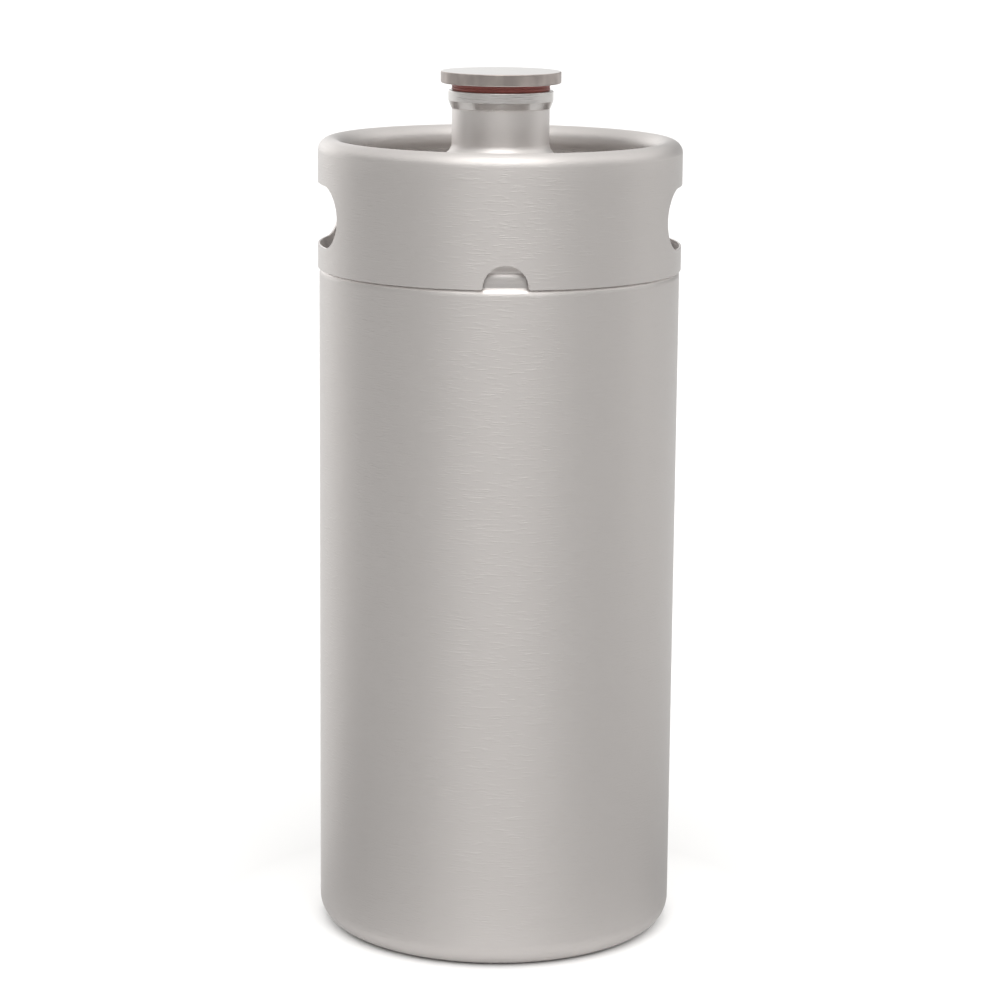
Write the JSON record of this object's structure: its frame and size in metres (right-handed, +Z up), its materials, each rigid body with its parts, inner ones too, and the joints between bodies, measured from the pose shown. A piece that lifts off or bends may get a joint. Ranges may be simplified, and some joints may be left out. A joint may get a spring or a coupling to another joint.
{
  "type": "insulated mini keg",
  "caption": "Double-walled stainless steel mini keg with a carrying collar, two hand holes, a threaded neck and a flat screw lid sealed by a silicone ring.",
  "frame": {"origin": "centre of the foot ring, on the surface the keg stands on", "axes": "+Z up along the keg's axis; the front drain notch of the collar faces -Y and the hand holes face +X and -X"},
  "size_m": [0.1614, 0.1612, 0.3871],
  "materials": {
    "brushed_stainless": "horizontally brushed stainless steel",
    "plain_stainless": "plain drawn stainless steel",
    "weld_steel": "dressed weld",
    "shield_foil": "bright foil",
    "silicone": "matt red-brown silicone",
    "sealing_glass": "fused dark glass bead",
    "ceramic": "matt unglazed ceramic",
    "getter_metal": "dark sintered metal"
  },
  "bodies": {
    "keg": {"outer_base": "brushed_stainless", "outer_shell": "brushed_stainless", "collar_seat": "brushed_stainless", "shoulder_dome": "brushed_stainless", "top_collar": "brushed_stainless", "rolled_rim": "brushed_stainless", "neck_tube": "brushed_stainless", "neck_ferrule": "brushed_stainless", "base_plate": "plain_stainless", "base_cover": "brushed_stainless", "inner_wall": "plain_stainless", "inner_bottom": "plain_stainless", "inner_shoulder": "plain_stainless", "neck_weld": "weld_steel", "collar_welds": "weld_steel", "heat_shield_foil": "shield_foil", "vacuum_seal": "sealing_glass", "support_spacer": "ceramic", "getter": "getter_metal", "getter_holder": "plain_stainless"},
    "seal": {"lid_gasket": "silicone"},
    "lid": {"lid_disc": "brushed_stainless", "lid_plug": "plain_stainless"}
  },
  "joints": [
    {"name": "lid_lift", "type": "slide", "parent": "keg", "child": "seal", "axis": [0, 0, 1], "range_m": [0, 0.0151]},
    {"name": "lid_turn", "type": "hinge", "parent": "seal", "child": "lid", "pos_m": [0, 0, 0.3871], "axis": [0, 0, 1], "range_deg": [0, 1800]}
  ],
  "couplings": [
    {"joint": "lid_lift", "follows": "lid_turn", "m_per_rad": 0.00047746}
  ]
}
